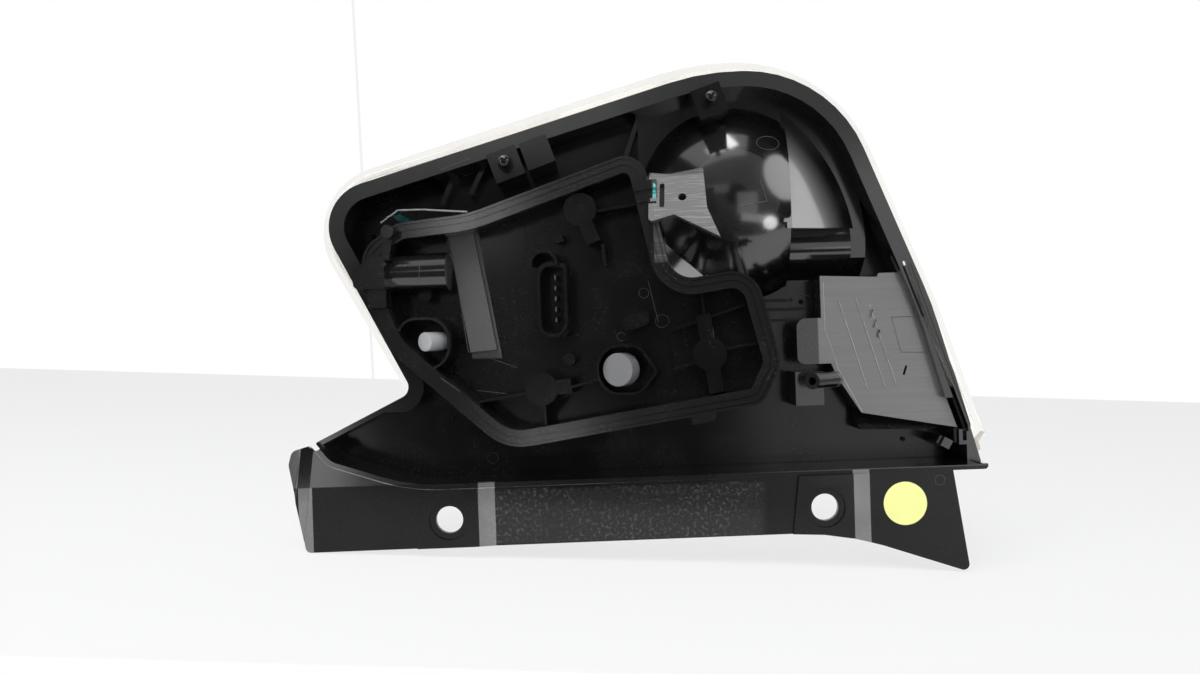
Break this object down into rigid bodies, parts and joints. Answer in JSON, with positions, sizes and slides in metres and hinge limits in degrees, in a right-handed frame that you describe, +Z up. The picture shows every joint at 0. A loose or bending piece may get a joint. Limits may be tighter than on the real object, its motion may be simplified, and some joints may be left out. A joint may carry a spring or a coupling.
{
  "type": "tail light cluster",
  "caption": "Rear body side of a car tail light cluster: moulded housing with a two-hole fixing strip, removable bulb carrier, ball studs and a clear outer lens.",
  "frame": {"origin": "midway between the two fixing bores of the strip, on the strip's rear face", "axes": "+X to the right as seen from the car body side, +Y towards the lens, +Z up"},
  "size_m": [0.3797, 0.128, 0.2796],
  "materials": {
    "black_housing": "moulded, satin to gloss",
    "clear_lens": "clear moulded plastic",
    "sealant": "matt",
    "bezel_grey": "satin",
    "bright_bowls": "vacuum metallised",
    "red_clear": "clear red plastic",
    "red_reflex": "prismatic red plastic",
    "screw_steel": "zinc plated",
    "black_carrier": "satin",
    "gasket_foam": "matt foam",
    "grey_insert": "satin",
    "black_stud": "gloss",
    "spring_steel": "bright",
    "yellow_sticker": "matt paper",
    "bulb_clear": "clear glass",
    "bulb_amber": "amber glass",
    "contact_brass": "tinned"
  },
  "bodies": {
    "root": {"housing": "black_housing", "outer_lens": "clear_lens", "lens_sealant": "sealant", "bezel": "bezel_grey", "reflector": "bright_bowls", "tail_filter": "red_clear", "stop_filter": "red_clear", "fog_filter": "red_clear", "reflex_reflector": "red_reflex", "reflector_screws": "screw_steel", "lamp_holder": "black_carrier", "holder_gasket": "gasket_foam", "left_socket_insert": "grey_insert", "middle_socket_insert": "grey_insert", "ball_stud_left": "black_stud", "ball_stud_right": "black_stud", "retaining_spring": "spring_steel", "inspection_sticker": "yellow_sticker", "stop_bulb": "bulb_clear", "turn_bulb": "bulb_amber", "reverse_bulb_inner": "bulb_clear", "reverse_bulb_outer": "bulb_clear", "fog_bulb": "bulb_clear", "ground_strip": "contact_brass", "stop_strip": "contact_brass", "turn_strip": "contact_brass", "reverse_strip": "contact_brass", "fog_strip": "contact_brass"}
  },
  "joints": []
}
